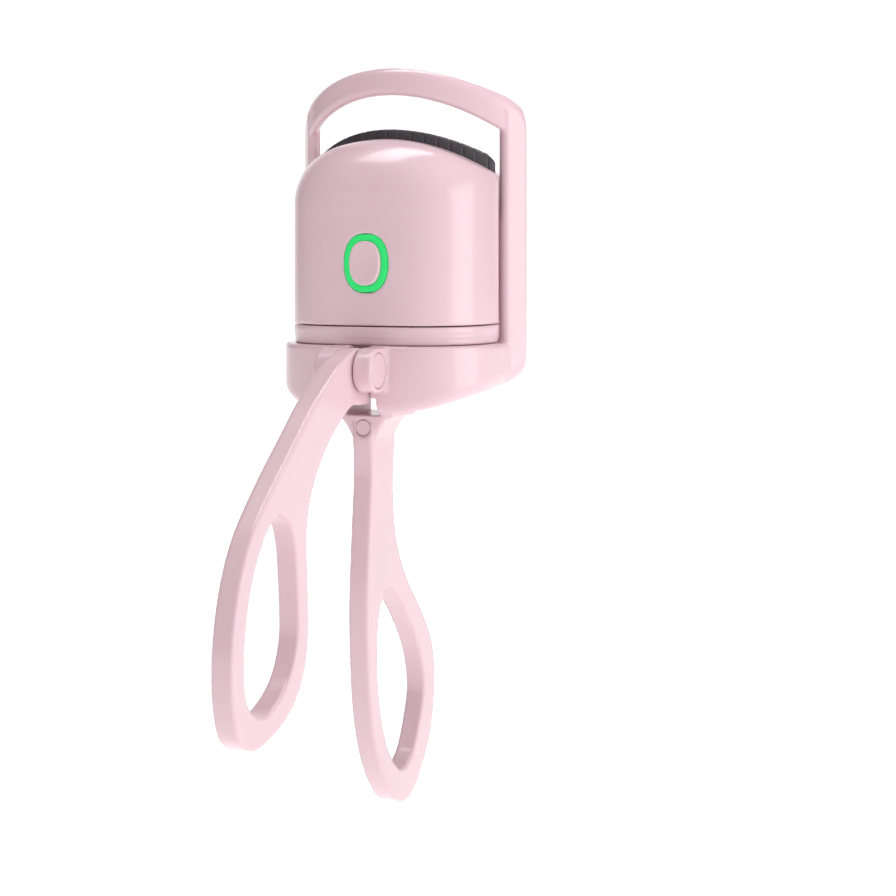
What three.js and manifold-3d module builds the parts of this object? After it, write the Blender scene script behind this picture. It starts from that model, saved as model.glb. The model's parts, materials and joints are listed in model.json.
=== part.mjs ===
// Heated eyelash curler: a fixed frame with a finger loop, a heating head that slides up its two
// rails, and a sprung front handle whose inner arm lifts the head against the pressing bar.
// Millimetres. +X is the user's right, -Y the front, +Z up. Heights are measured from the lowest
// point of the fixed handle, depths from the middle of the rails; the last lines move the origin
// to the middle of the fixed finger loop.
import * as THREE from 'three';
import { mergeVertices } from 'three/addons/utils/BufferGeometryUtils.js';
import Module from 'manifold-3d';

const wasm = await Module();
wasm.setup();

// ---- Driving dimensions -------------------------------------------------------------------
const GAP = 0.3;                    // between touching pieces
const RUNNING = 0.1;                // radial play of a pin in its hole

// pressing bar and rails
const RING_R = 21.2;                // plan radius of the bar, at the middle of its thickness
const RAIL_X = 17.3;                // rail centre from the middle plane
const RAIL_BREADTH = 4.7;
const RAIL_THICK = 2.0;
const RAIL_ROUND = 0.9;
const RAIL_OUTER = RAIL_X + 2.2;    // outermost edge of rails and bar, seen from the front
const RAIL_FOOT = 64.8;             // bottom of the rails
const FOOT_ROUND = 5.5;             // rounding of their lower outer corners
const BAR_TOP = 114.0;              // crest of the bar
const BAR_UNDER = 109.75;           // crest of its underside
const BAR_TOP_ARCH = 34;            // radius of each arch, seen from the front
const BAR_UNDER_ARCH = 26.5;
const BAR_CORNER = 3.4;             // rounding of the outer corners

// base of the frame
const BASE_HALF = 17.25;
const BASE_DEPTH = 20.0;
const BASE_TOP = 71.5;
const DECK = 1.7;
const WALL = 3.0;
const BASE_BACK = 4.4;
const BASE_ROUND = 2.4;             // rounding of the skirt's lower edge
const LOWER_EDGE = [                // depth and height of the skirt's lower edge, seen from the side
  [-20, 59.8], [-19, 60.8], [-18, 61.5], [-16.6, 62.2], [-14.5, 62.95], [-11.7, 63.6],
  [-5.8, 64.3], [-1.3, 64.8], [BASE_BACK, 65.4],
];

// sliding head
const PLAN_POWER = 3.07;            // squareness of both plan outlines, 2 would be an ellipse
const HEAD_HALF = 16.1;
const HEAD_DEPTH = 18.7;
const HEAD_SPLIT = -3.0;            // the front shell ends just ahead of the rails
const BAND_BOTTOM = 71.8;
const SEAM = 74.5;                  // top of the ribbed band, bottom of the front shell
const HEAD_TOP = 102.95;
const CROWN_R = 26;                 // the top drops away to both sides on this radius
const SHOULDER_SIDE = [0.6, 0.8];   // how far in and down the shoulder rounds at the sides
const SHOULDER_FRONT = [8.5, 8.5];  // and at the front
const SHELL = 1.5;
const REAR_HALF = 14.5;             // rear shell between the rails
const FLANGE_HALF = 17.4;           // and behind them
const FLANGE_FRONT = 2.9;
const REAR_BACK = 5.2;
const REAR_TOP = 101.6;
const SHELF = 90.4;                 // below this the shells close in under the comb

// comb and what heats it
const COMB_R = 21.8;                // plan radius of its front face
const COMB_THICK = 2.6;
const COMB_TOP = 104.5;
const COMB_ARCH = 27;
const COMB_HALF_ANGLE = 46;         // degrees of the plan circle
const COMB_HEIGHT = 4.4;
const SPREADER = 0.8;
const HEATER = 0.8;
const CARRIER = 2.4;

// button and light
const BUTTON_Z = 83.9;
const BUTTON_X = 0.5;
const RING_HALF_W = 3.52;
const RING_HALF_H = 4.37;
const RING_BAND = 0.95;
const OVAL_POWER = 2.35;

// handles and linkage
const HANDLE_HALF = 1.6;            // half of both handles' thickness
const HANDLE_BEVEL = 0.3;
const PIVOT_Y = -22.9;
const PIVOT_Z = 68.1;
const BOSS_R = 3.3;
const CHEEK_IN = 1.95;
const CHEEK_OUT = 4.7;
const PIN_R = 1.3;
const CAP_R = 2.6;
const CAP_THICK = 0.7;
const ARM = 12.9;                   // pivot to lift pin
const ARM_HALF = 1.4;               // half of the arm's height
const LIFT_PIN_R = 0.8;
const EAR_IN = 1.9;
const EAR_OUT = 3.4;
const EAR_BOTTOM = 63.6;
const PLUG_R = 1.2;
const PLUG_Z = 59.1;
const WINDOW_Z = 61.1;              // bottom of the window under the bosses
const WINDOW_HALF = 2.75;
const WEB_BACK = -9;                // where the webs behind the bosses end
const CLOSING = 22.5;               // degrees the front handle turns to close

// return spring in the knuckle
const COIL_R = 1.95;
const WIRE_R = 0.2;
const COIL_TURNS = 2;
const COIL_POCKET_R = 2.4;
const COIL_POCKET_X = 0.2;

// electronics
const BATTERY = [18, 4.6, 15];
const BOARD_HALF = 9.4;
const BOARD_Y = -13.4;
const USB_WIDTH = 8.94;             // a standard USB-C receptacle
const USB_HEIGHT = 3.16;
const USB_LENGTH = 7.3;
const USB_Z = 79.6;
const SCREW_X = 12.0;
const SCREW_ZS = [78.6, 88.0];
const SCREW_R = 0.8;
const POST_R = 1.9;
const SCREW_HEAD_R = 1.5;
const LEAD_R = 0.35;

const LOOP_CENTRE_Y = -7.5;         // middle of the fixed finger loop, the origin of the part
const LOOP_CENTRE_Z = 18.5;

// ---- Derived places -----------------------------------------------------------------------
const rad = THREE.MathUtils.degToRad;
const railAngle = Math.asin(RAIL_X / RING_R);
const ringY = RING_R * Math.cos(railAngle);
const armDrop = rad(CLOSING / 2);   // the arm swings as far above level as it hangs below
const liftY = PIVOT_Y + ARM * Math.cos(armDrop);
const liftZ = PIVOT_Z - ARM * Math.sin(armDrop);
const combHalf = rad(COMB_HALF_ANGLE);
const combInner = COMB_R - COMB_THICK;

// ---- Materials ----------------------------------------------------------------------------
function finish(color, roughness, metalness = 0) {
  return new THREE.MeshStandardMaterial({ color, roughness, metalness });
}
const pink = () => finish(0xf0cdd8, 0.2);
const steel = () => finish(0xb9bcc0, 0.35, 1);
const board = () => finish(0x1f5a38, 0.5);
const black = () => finish(0x1c1b1d, 0.5);

// ---- Solids -------------------------------------------------------------------------------
const part = new THREE.Group();

function addPiece(name, geometry, material) {
  const mesh = new THREE.Mesh(geometry, material);
  mesh.name = name;
  part.add(mesh);
  return mesh;
}

function toSolid(geometry) {
  const bare = geometry.clone();
  bare.deleteAttribute('normal');
  bare.deleteAttribute('uv');
  const merged = mergeVertices(bare, 1e-5);
  const vertProperties = new Float32Array(merged.attributes.position.array);
  const triVerts = new Uint32Array(merged.index.array);
  return new wasm.Manifold(new wasm.Mesh({ numProp: 3, vertProperties, triVerts }));
}

function toGeometry(solid) {
  const mesh = solid.getMesh();
  const geometry = new THREE.BufferGeometry();
  geometry.setAttribute('position', new THREE.BufferAttribute(mesh.vertProperties, 3));
  geometry.setIndex(new THREE.BufferAttribute(mesh.triVerts, 1));
  geometry.computeVertexNormals();
  return geometry;
}

function join(...geometries) {
  return toGeometry(geometries.map(toSolid).reduce((sum, solid) => sum.add(solid)));
}

function cut(geometry, ...tools) {
  const whole = toSolid(geometry);
  return toGeometry(tools.map(toSolid).reduce((rest, tool) => rest.subtract(tool), whole));
}

function common(...geometries) {
  return toGeometry(geometries.map(toSolid).reduce((rest, solid) => rest.intersect(solid)));
}

// A box from its low and high corners.
function block(x0, x1, y0, y1, z0, z1) {
  return new THREE.BoxGeometry(x1 - x0, y1 - y0, z1 - z0)
    .translate((x0 + x1) / 2, (y0 + y1) / 2, (z0 + z1) / 2);
}

// The same box on the left and on the right.
function bothSides(x0, x1, y0, y1, z0, z1) {
  return [block(x0, x1, y0, y1, z0, z1), block(-x1, -x0, y0, y1, z0, z1)];
}

// A round bar along X (middle at y, z) or along Y (middle at x, z), from one end to the other.
function barAlongX(radius, from, to, y, z, sides = 28) {
  const bar = new THREE.CylinderGeometry(radius, radius, to - from, sides);
  return bar.rotateZ(-Math.PI / 2).translate((from + to) / 2, y, z);
}

function barAlongY(radius, from, to, x, z, sides = 20) {
  const bar = new THREE.CylinderGeometry(radius, radius, to - from, sides);
  return bar.translate(x, (from + to) / 2, z);
}

function extrude(shape, depth, options = {}) {
  return new THREE.ExtrudeGeometry(shape, { depth, bevelEnabled: false, curveSegments: 6, ...options });
}

// An outline drawn in plan (x, y), rising from z0 to z1.
const fromPlan = (shape, z0, z1) => extrude(shape, z1 - z0).translate(0, 0, z0);

// An outline drawn from the front (x, z), reaching from the depth y0 back to y1.
const fromFront = (shape, y0, y1) => extrude(shape, y1 - y0).rotateX(Math.PI / 2).translate(0, y1, 0);

// An outline drawn from the side (y, z), reaching from x0 to x1.
function fromSide(shape, x0, x1, options = {}) {
  const turn = new THREE.Matrix4().makeBasis(
    new THREE.Vector3(0, 1, 0),
    new THREE.Vector3(0, 0, 1),
    new THREE.Vector3(1, 0, 0),
  );
  return extrude(shape, x1 - x0, options).applyMatrix4(turn).translate(x0, 0, 0);
}

const points2 = (points) => points.map(([x, y]) => new THREE.Vector2(x, y));
const polygon = (points) => new THREE.Shape(points2(points));

// A smooth closed outline through a few points.
function smoothLoop(points, steps) {
  const through = points.map(([x, y]) => new THREE.Vector3(x, y, 0));
  const curve = new THREE.CatmullRomCurve3(through, true, 'centripetal');
  return curve.getPoints(steps).slice(0, -1).map((p) => new THREE.Vector2(p.x, p.y));
}

// The squared ellipse of the head and the base: its front half, closed straight at the back.
const PLAN_STEPS = 36;
function plan(half, depth, back, steps = PLAN_STEPS) {
  const points = [];
  for (let i = 0; i <= steps; i += 1) {
    const t = -Math.PI / 2 + (Math.PI * i) / steps;
    const across = Math.abs(Math.sin(t)) ** (2 / PLAN_POWER);
    const ahead = Math.abs(Math.cos(t)) ** (2 / PLAN_POWER);
    points.push([half * Math.sign(t) * across, -depth * ahead]);
  }
  points.push([half, back], [-half, back]);
  return polygon(points);
}

// A sector of the plan circle that the bar and the comb lie on.
function ringSector(inner, outer, halfAngle, z0, z1, steps = 28) {
  const at = (radius, angle) => [radius * Math.sin(angle), ringY - radius * Math.cos(angle)];
  const angles = Array.from({ length: steps + 1 }, (_, i) => halfAngle * ((2 * i) / steps - 1));
  const front = angles.map((angle) => at(outer, angle));
  const back = angles.reverse().map((angle) => at(inner, angle));
  return fromPlan(polygon([...front, ...back]), z0, z1);
}

// Height at x of an arch with the given crest and radius.
const archHeight = (crest, radius, x) => crest - radius + Math.sqrt(radius * radius - x * x);

// The space between two arches seen from the front, through the whole depth.
function archBand(half, top, topR, bottom, bottomR, steps = 24) {
  const xs = Array.from({ length: steps + 1 }, (_, i) => half * ((2 * i) / steps - 1));
  const lower = xs.map((x) => [x, archHeight(bottom, bottomR, x)]);
  const upper = xs.reverse().map((x) => [x, archHeight(top, topR, x)]);
  return fromFront(polygon([...lower, ...upper]), -30, 30);
}

function roundedBox(width, height, radius) {
  const shape = new THREE.Shape();
  const w = width / 2 - radius;
  const h = height / 2 - radius;
  shape.absarc(w, -h, radius, -Math.PI / 2, 0);
  shape.absarc(w, h, radius, 0, Math.PI / 2);
  shape.absarc(-w, h, radius, Math.PI / 2, Math.PI);
  shape.absarc(-w, -h, radius, Math.PI, 1.5 * Math.PI);
  return shape;
}

// The upright oval of the button and its light.
function oval(halfWidth, halfHeight, y0, y1, steps = 44) {
  const points = Array.from({ length: steps }, (_, i) => {
    const [across, up] = [Math.cos((2 * Math.PI * i) / steps), Math.sin((2 * Math.PI * i) / steps)];
    const bulge = (Math.abs(across) ** OVAL_POWER + Math.abs(up) ** OVAL_POWER) ** (-1 / OVAL_POWER);
    return [BUTTON_X + halfWidth * across * bulge, BUTTON_Z + halfHeight * up * bulge];
  });
  return fromFront(polygon(points), y0, y1);
}

// The front half of that outline, left to right, each point with the direction out of it.
function planFront(half, depth) {
  const points = plan(half, depth, 0).extractPoints().shape.slice(0, PLAN_STEPS + 1);
  return points.map((at, i) => {
    const before = points[Math.max(i - 1, 0)];
    const after = points[Math.min(i + 1, PLAN_STEPS)];
    return { at, out: new THREE.Vector2(after.y - before.y, before.x - after.x).normalize() };
  });
}

// Closes a front row of points with a straight row behind, one back point for each front one.
function ring(front, back, heightBehind) {
  return [...front, ...front.map(([x]) => [x, back, heightBehind(x)]).reverse()];
}

// A closed skin through matching rings of such points, the lowest first.
function loft(rings) {
  const count = rings[0].length;
  const columns = count / 2;
  const index = [];
  for (let level = 0; level < rings.length - 1; level += 1) {
    for (let i = 0; i < count; i += 1) {
      const a = level * count + i;
      const b = level * count + ((i + 1) % count);
      index.push(a, b, b + count, a, b + count, a + count);
    }
  }
  const last = (rings.length - 1) * count;
  for (let i = 0; i < columns - 1; i += 1) {
    const quad = [i, i + 1, count - 2 - i, count - 1 - i];
    index.push(quad[0], quad[2], quad[1], quad[0], quad[3], quad[2]);
    const [a, b, c, d] = quad.map((k) => k + last);
    index.push(a, b, c, a, c, d);
  }
  const geometry = new THREE.BufferGeometry();
  geometry.setAttribute('position', new THREE.Float32BufferAttribute(rings.flat(2), 3));
  geometry.setIndex(index);
  return geometry;
}

// A thin round wire or pin along a curve.
function wire(points, radius, steps) {
  const path = new THREE.CatmullRomCurve3(points.map(([x, y, z]) => new THREE.Vector3(x, y, z)));
  const section = new THREE.Shape();
  section.absarc(0, 0, radius, 0, 2 * Math.PI);
  const options = { extrudePath: path, steps, curveSegments: 4, bevelEnabled: false };
  return new THREE.ExtrudeGeometry(section, options);
}

// ---- Frame --------------------------------------------------------------------------------
// Everything inside the arch's outer edge, seen from the front.
function insideOuterEdge() {
  const outerX = RAIL_OUTER;
  const reach = outerX - BAR_CORNER * 0.8;
  const straightTop = archHeight(BAR_TOP, BAR_TOP_ARCH, outerX) - BAR_CORNER;
  const cornerZ = archHeight(BAR_TOP, BAR_TOP_ARCH, outerX - BAR_CORNER * 0.5) - 0.4;
  const reachZ = archHeight(BAR_TOP, BAR_TOP_ARCH, reach);
  const steps = 20;
  const shape = new THREE.Shape();
  shape.absarc(-outerX + FOOT_ROUND, RAIL_FOOT + FOOT_ROUND, FOOT_ROUND, 1.5 * Math.PI, Math.PI, true);
  shape.lineTo(-outerX, straightTop);
  shape.quadraticCurveTo(-outerX, cornerZ, -reach, reachZ);
  for (let i = 1; i < steps; i += 1) {
    const x = reach * ((2 * i) / steps - 1);
    shape.lineTo(x, archHeight(BAR_TOP, BAR_TOP_ARCH, x));
  }
  shape.lineTo(reach, reachZ);
  shape.quadraticCurveTo(outerX, cornerZ, outerX, straightTop);
  shape.absarc(outerX - FOOT_ROUND, RAIL_FOOT + FOOT_ROUND, FOOT_ROUND, 0, -Math.PI / 2, true);
  return fromFront(shape, -30, 30);
}

function rail(side) {
  const bar = fromPlan(roundedBox(RAIL_BREADTH, RAIL_THICK, RAIL_ROUND), RAIL_FOOT - 1, BAR_TOP);
  return bar.rotateZ(side * railAngle).translate(side * RAIL_X, 0, 0);
}

function arch() {
  const half = RAIL_THICK / 2;
  const ring = ringSector(RING_R - half, RING_R + half, railAngle, 95, 118);
  const band = archBand(RAIL_X + 2, BAR_TOP + 1, BAR_TOP_ARCH, BAR_UNDER, BAR_UNDER_ARCH);
  return common(join(common(ring, band), rail(-1), rail(1)), insideOuterEdge());
}

// Height of the skirt's lower edge at a given depth: it climbs from the neck to the rails.
function lowerEdge(y) {
  const past = LOWER_EDGE.findIndex(([depth]) => depth >= y);
  const next = THREE.MathUtils.clamp(past, 1, LOWER_EDGE.length - 1);
  const [y0, z0] = LOWER_EDGE[next - 1];
  const [y1, z1] = LOWER_EDGE[next];
  return z0 + ((z1 - z0) * (y - y0)) / (y1 - y0);
}

function skirt() {
  const points = planFront(BASE_HALF, BASE_DEPTH);
  const rounded = [90, 60, 30, 0].map((turn) => {
    const inward = BASE_ROUND * (1 - Math.cos(rad(turn)));
    const upward = BASE_ROUND * (1 - Math.sin(rad(turn)));
    const front = points.map(({ at, out }) => (
      [at.x - out.x * inward, at.y - out.y * inward, lowerEdge(at.y) + upward]));
    return ring(front, BASE_BACK - inward, () => lowerEdge(BASE_BACK) + upward);
  });
  const top = ring(points.map(({ at }) => [at.x, at.y, BASE_TOP]), BASE_BACK, () => BASE_TOP);
  const inner = fromPlan(plan(BASE_HALF - WALL, BASE_DEPTH - WALL, BASE_BACK + 1), 57, BASE_TOP - DECK);
  return cut(loft([...rounded, top]), inner);
}

// The cheeks: round bosses ahead of the skirt, and webs that run back under the deck.
function cheeks() {
  const shape = new THREE.Shape();
  shape.absarc(PIVOT_Y, PIVOT_Z, BOSS_R, Math.PI / 2, Math.PI * 1.5);
  shape.lineTo(-18.6, PIVOT_Z - BOSS_R);
  shape.lineTo(-18.2, 60.6);
  shape.lineTo(WEB_BACK, 60.6);
  shape.lineTo(WEB_BACK, 63.4);
  shape.lineTo(-6.6, 66);
  shape.lineTo(-6.6, BASE_TOP - 0.1);
  return fromSide(shape, -CHEEK_OUT, CHEEK_OUT);
}

// The neck opens out like a trumpet from the handle's thickness to the cheeks.
function neck() {
  const shape = new THREE.Shape();
  shape.moveTo(-HANDLE_HALF, 54);
  shape.lineTo(HANDLE_HALF, 54);
  shape.splineThru(points2([[1.75, 56.5], [2.7, 59.2], [CHEEK_OUT, 61.6]]));
  shape.lineTo(-CHEEK_OUT, 61.6);
  shape.splineThru(points2([[-2.7, 59.2], [-1.75, 56.5], [-HANDLE_HALF, 54]]));
  return fromFront(shape, -18.5, -10.6);
}

// Both handles: a flat moulding with a finger loop, its edges broken by a small bevel.
function handleBody(outline, hole) {
  const shape = new THREE.Shape(outline);
  shape.holes.push(new THREE.Path(hole));
  return fromSide(shape, -HANDLE_HALF + HANDLE_BEVEL, HANDLE_HALF - HANDLE_BEVEL, {
    bevelEnabled: true,
    bevelSize: HANDLE_BEVEL,
    bevelThickness: HANDLE_BEVEL,
    bevelOffset: -HANDLE_BEVEL,
    bevelSegments: 1,
  });
}

function fixedHandle() {
  const outline = smoothLoop([
    [-18.4, 60], [-18.5, 52], [-19.4, 43], [-20.2, 33], [-20.0, 25.5], [-18.9, 16.5], [-16.6, 9.6],
    [-13, 4.2], [-9.2, 1], [-5.5, 0], [-2.3, 1.1], [1.3, 4.2], [4.6, 9], [6.2, 15.8], [5.4, 22],
    [2.3, 26.8], [-1.9, 31.3], [-6.4, 36.2], [-9.5, 42], [-10.6, 49], [-10.6, 60], [-14.5, 62],
  ], 96);
  const hole = smoothLoop([
    [-12.6, 34.4], [-15.4, 31.7], [-16.6, 26], [-16.1, 19], [-14.4, 13.2], [-11.6, 8.4],
    [-7, 5.2], [-2.7, 6.8], [0.3, 11.4], [1.8, 16.2], [0.4, 21.6], [-3.4, 27], [-8, 31.6],
  ], 60);
  return handleBody(outline, hole);
}

function buildFrame() {
  return cut(
    join(skirt(), neck(), cheeks(), arch(), fixedHandle()),
    // slot between the cheeks for the knuckle and the arm, and a wider window below it
    block(-CHEEK_IN, CHEEK_IN, -30, -5, WINDOW_Z, 80),
    block(-WINDOW_HALF, WINDOW_HALF, -30, -5, WINDOW_Z, PIVOT_Z - BOSS_R - 0.1),
    // room for the two lift ears
    block(-EAR_OUT - 0.5, EAR_OUT + 0.5, liftY - 2.6, -5, EAR_BOTTOM - 0.4, 80),
    barAlongX(PIN_R + RUNNING, -10, 10, PIVOT_Y, PIVOT_Z),
    barAlongX(CAP_R + 0.15, CHEEK_OUT - CAP_THICK - 0.1, 10, PIVOT_Y, PIVOT_Z),
    barAlongX(CAP_R + 0.15, -10, -CHEEK_OUT + CAP_THICK + 0.1, PIVOT_Y, PIVOT_Z),
    barAlongY(PLUG_R + 0.15, -25, -17.1, 0, PLUG_Z),
    // hole for the spring's fixed leg
    barAlongX(WIRE_R + 0.15, 0, 3.3, PIVOT_Y, PIVOT_Z + COIL_R, 12),
  );
}

addPiece('frame', buildFrame(), pink());

// ---- Pivot pin, its cap and the neck plug -------------------------------------------------
const capFace = CHEEK_OUT - 0.1;
const pinShaft = barAlongX(PIN_R, -capFace + CAP_THICK + 0.2, CHEEK_OUT - 0.3, PIVOT_Y, PIVOT_Z, 24);
const pinHead = barAlongX(CAP_R, capFace - CAP_THICK + 0.1, capFace, PIVOT_Y, PIVOT_Z);
addPiece('pivot_pin', join(pinShaft, pinHead), pink());
addPiece('pivot_cap', barAlongX(CAP_R, -capFace, -capFace + CAP_THICK - 0.1, PIVOT_Y, PIVOT_Z), pink());
addPiece('neck_plug', barAlongY(PLUG_R, -18.5, -17.3, 0, PLUG_Z), pink());

// ---- Moving handle ------------------------------------------------------------------------
function movingHandle() {
  const outline = smoothLoop([
    [-22.9, 71.4], [-26.4, 70.6], [-29.7, 69.3], [-33.6, 67.1], [-37.8, 64.5], [-42.9, 60.5], [-49, 55.7],
    [-54.1, 51.3], [-58.3, 46.8], [-61.3, 41.1], [-62.9, 35.1], [-63.3, 30.4], [-62.8, 25.6],
    [-61, 21.4], [-57, 19.4], [-51.6, 20.1], [-46, 22.3], [-42.5, 25.7], [-40.7, 30], [-40.4, 36],
    [-40.8, 43], [-40.6, 48.2], [-39, 52.2], [-36, 56.1], [-32.2, 59.4], [-28.5, 61.9], [-25.6, 63.4],
    [-22.9, 63.4], [-20.5, 64.8], [-19.6, 67.8], [-20.8, 70.7],
  ], 116);
  const hole = smoothLoop([
    [-49.6, 49.9], [-52.9, 48.2], [-55.6, 45.1], [-58, 40.5], [-59.5, 34.7], [-59.8, 29.4],
    [-58.5, 25.5], [-54.4, 23.4], [-50.2, 24.4], [-46.1, 27.1], [-43.8, 31.4], [-43.6, 36],
    [-44, 40.6], [-44.7, 45.2], [-46.4, 48.6],
  ], 62);
  return handleBody(outline, hole);
}

function arm() {
  const lean = -armDrop;
  const shape = new THREE.Shape();
  shape.moveTo(1, -ARM_HALF - 0.6);
  shape.lineTo(ARM, -ARM_HALF);
  shape.absarc(ARM, 0, ARM_HALF, -Math.PI / 2, Math.PI / 2);
  shape.lineTo(1, ARM_HALF + 0.6);
  const turned = shape.extractPoints(5).shape.map((p) => p.rotateAround(new THREE.Vector2(), lean));
  const placed = turned.map((p) => [p.x + PIVOT_Y, p.y + PIVOT_Z]);
  return fromSide(polygon(placed), -HANDLE_HALF, HANDLE_HALF);
}

const legZ = PIVOT_Z + COIL_R;
const springSlot = block(COIL_POCKET_X, 2, PIVOT_Y, PIVOT_Y + 3.0, legZ - 0.35, legZ + 0.35);
addPiece('moving_handle', cut(
  join(movingHandle(), arm()),
  barAlongX(PIN_R + RUNNING, -5, 5, PIVOT_Y, PIVOT_Z),
  barAlongX(COIL_POCKET_R, COIL_POCKET_X, 5, PIVOT_Y, PIVOT_Z),
  springSlot,
  barAlongX(LIFT_PIN_R + 0.05, -5, 5, liftY, liftZ, 20),
), pink());
addPiece('lift_pin', barAlongX(LIFT_PIN_R, -EAR_OUT + 0.1, EAR_OUT - 0.1, liftY, liftZ, 20), steel());

// Torsion spring round the pin: one leg in the cheek, the other against the knuckle's slot.
function returnSpring() {
  const first = COIL_POCKET_X + WIRE_R + 0.15;
  const last = HANDLE_HALF;
  const path = [[first, PIVOT_Y + 2.8, PIVOT_Z + COIL_R], [first, PIVOT_Y + 1.2, PIVOT_Z + COIL_R]];
  const perTurn = 16;
  for (let i = 0; i <= COIL_TURNS * perTurn; i += 1) {
    const angle = (2 * Math.PI * i) / perTurn;
    const x = first + ((last - first) * i) / (COIL_TURNS * perTurn);
    path.push([x, PIVOT_Y - COIL_R * Math.sin(angle), PIVOT_Z + COIL_R * Math.cos(angle)]);
  }
  path.push([last + 0.35, PIVOT_Y - 0.15, PIVOT_Z + COIL_R], [last + 1.4, PIVOT_Y, PIVOT_Z + COIL_R]);
  return wire(path, WIRE_R, 72);
}
addPiece('return_spring', returnSpring(), steel());

// ---- Head shells --------------------------------------------------------------------------
// A block with the head's plan, crowned across its width, with a shoulder that rounds widely at
// the front and tightly at the sides. Its open end hangs below and behind.
function domed(half, depth, back, top) {
  const crown = (x) => top - CROWN_R + Math.sqrt(CROWN_R * CROWN_R - x * x);
  const [sideReach, sideDrop] = SHOULDER_SIDE;
  const points = planFront(half, depth).map(({ at, out }) => {
    const share = THREE.MathUtils.clamp((-at.y / depth - 0.16) / 0.84, 0, 1);
    const reach = THREE.MathUtils.lerp(sideReach, SHOULDER_FRONT[0], share ** 1.65);
    return { at, out, reach, drop: THREE.MathUtils.lerp(sideDrop, SHOULDER_FRONT[1], share) };
  });
  const foot = ring(points.map(({ at }) => [at.x, at.y, SEAM - 9]), back, () => SEAM - 9);
  const shoulder = [0, 18, 36, 54, 72, 90].map((turn) => {
    const inward = 1 - Math.cos(rad(turn));
    const down = 1 - Math.sin(rad(turn));
    const front = points.map(({ at, out, reach, drop }) => {
      const x = at.x - out.x * reach * inward;
      return [x, at.y - out.y * reach * inward, crown(x) - drop * down];
    });
    return ring(front, back - sideReach * inward, (x) => crown(x) - sideDrop * down);
  });
  return loft([foot, ...shoulder]);
}

const headOuter = () => domed(HEAD_HALF, HEAD_DEPTH, 12, HEAD_TOP);
const headInner = () => domed(HEAD_HALF - SHELL, HEAD_DEPTH - SHELL, 12, HEAD_TOP - SHELL);

// A round column on the comb's plan circle, from the shelf up.
function combColumn(radius) {
  const column = new THREE.CylinderGeometry(radius, radius, 30, 96);
  return column.rotateX(Math.PI / 2).translate(0, ringY, SHELF + 15);
}

// Screw posts, and their bores.
function posts(radius, y0, y1) {
  const places = SCREW_ZS.flatMap((z) => [[-SCREW_X, z], [SCREW_X, z]]);
  return places.map(([x, z]) => barAlongY(radius, y0, y1, x, z, 16));
}

// The front shell ends ahead of the rails, and above the shelf ahead of the comb.
addPiece('front_shell', cut(
  common(
    join(cut(headOuter(), headInner()), common(join(...posts(POST_R, -17, HEAD_SPLIT)), headOuter())),
    block(-30, 30, -30, HEAD_SPLIT, SEAM, 120),
  ),
  ...posts(SCREW_R + RUNNING, -14, 5),
  oval(RING_HALF_W + 0.15, RING_HALF_H + 0.15, -25, -16),
  combColumn(COMB_R + GAP),
), pink());

// The rear shell fills the space between the rails, hooks behind them, and roofs the head
// behind the comb.
function rearOutside() {
  const dome = domed(REAR_HALF, HEAD_DEPTH, REAR_BACK, REAR_TOP);
  const behindSplit = block(-30, 30, HEAD_SPLIT + GAP, 30, SEAM, SHELF + 1);
  const roofed = common(dome, join(behindSplit, combColumn(combInner - GAP)));
  const hooks = bothSides(REAR_HALF - 3, FLANGE_HALF, FLANGE_FRONT, REAR_BACK - 0.4, SEAM, 94);
  return join(roofed, ...hooks);
}

function rearInside() {
  return domed(REAR_HALF - SHELL, HEAD_DEPTH + 1, REAR_BACK - SHELL, REAR_TOP - SHELL);
}

function usbOpening(extra, y0, y1) {
  const size = [USB_WIDTH + 2 * extra, USB_HEIGHT + 2 * extra];
  return fromFront(roundedBox(...size, size[1] * 0.45), y0, y1).translate(0, 0, USB_Z);
}

addPiece('rear_shell', cut(
  join(cut(rearOutside(), rearInside()), ...posts(POST_R, HEAD_SPLIT + GAP, REAR_BACK - 0.2)),
  ...posts(SCREW_R + RUNNING, -10, 10),
  ...posts(SCREW_HEAD_R + 0.15, REAR_BACK - 1.5, 10),
  usbOpening(0.25, -5, 10),
), pink());

for (const [side, x] of [['left', -SCREW_X], ['right', SCREW_X]]) {
  for (const [level, z] of [['lower', SCREW_ZS[0]], ['upper', SCREW_ZS[1]]]) {
    const shaft = barAlongY(SCREW_R, -8, REAR_BACK - 0.6, x, z, 12);
    const head = barAlongY(SCREW_HEAD_R, REAR_BACK - 1.3, REAR_BACK - 0.3, x, z, 20);
    const cross = [
      block(x - 0.9, x + 0.9, 4.3, 6, z - 0.2, z + 0.2),
      block(x - 0.2, x + 0.2, 4.3, 6, z - 0.9, z + 0.9),
    ];
    addPiece(`case_screw_${side}_${level}`, cut(join(shaft, head), ...cross), steel());
  }
}

// ---- Ribbed band with the lift ears -------------------------------------------------------
function bandBlock(inset, z0, z1) {
  const front = common(
    fromPlan(plan(HEAD_HALF - inset, HEAD_DEPTH - inset, 2), z0, z1),
    block(-30, 30, -30, HEAD_SPLIT, 40, 120),
  );
  return join(front, block(-REAR_HALF + inset, REAR_HALF - inset, -6, REAR_BACK - inset, z0, z1));
}

const ears = bothSides(EAR_IN, EAR_OUT, liftY - 2.1, liftY + 2.4, EAR_BOTTOM, SEAM - 1.5);
const pinSlide = ARM - ARM * Math.cos(armDrop);
const slotSize = [2 * (LIFT_PIN_R + 0.1) + pinSlide, 2 * (LIFT_PIN_R + 0.1)];
const earSlot = fromSide(roundedBox(...slotSize, slotSize[1] * 0.49), -6, 6)
  .translate(0, liftY + pinSlide / 2, liftZ);
addPiece('bottom_cap', cut(
  join(bandBlock(0, BAND_BOTTOM, SEAM - GAP), ...ears),
  bandBlock(SHELL, BAND_BOTTOM + 1.2, SEAM + 1),
  earSlot,
), pink());

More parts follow.
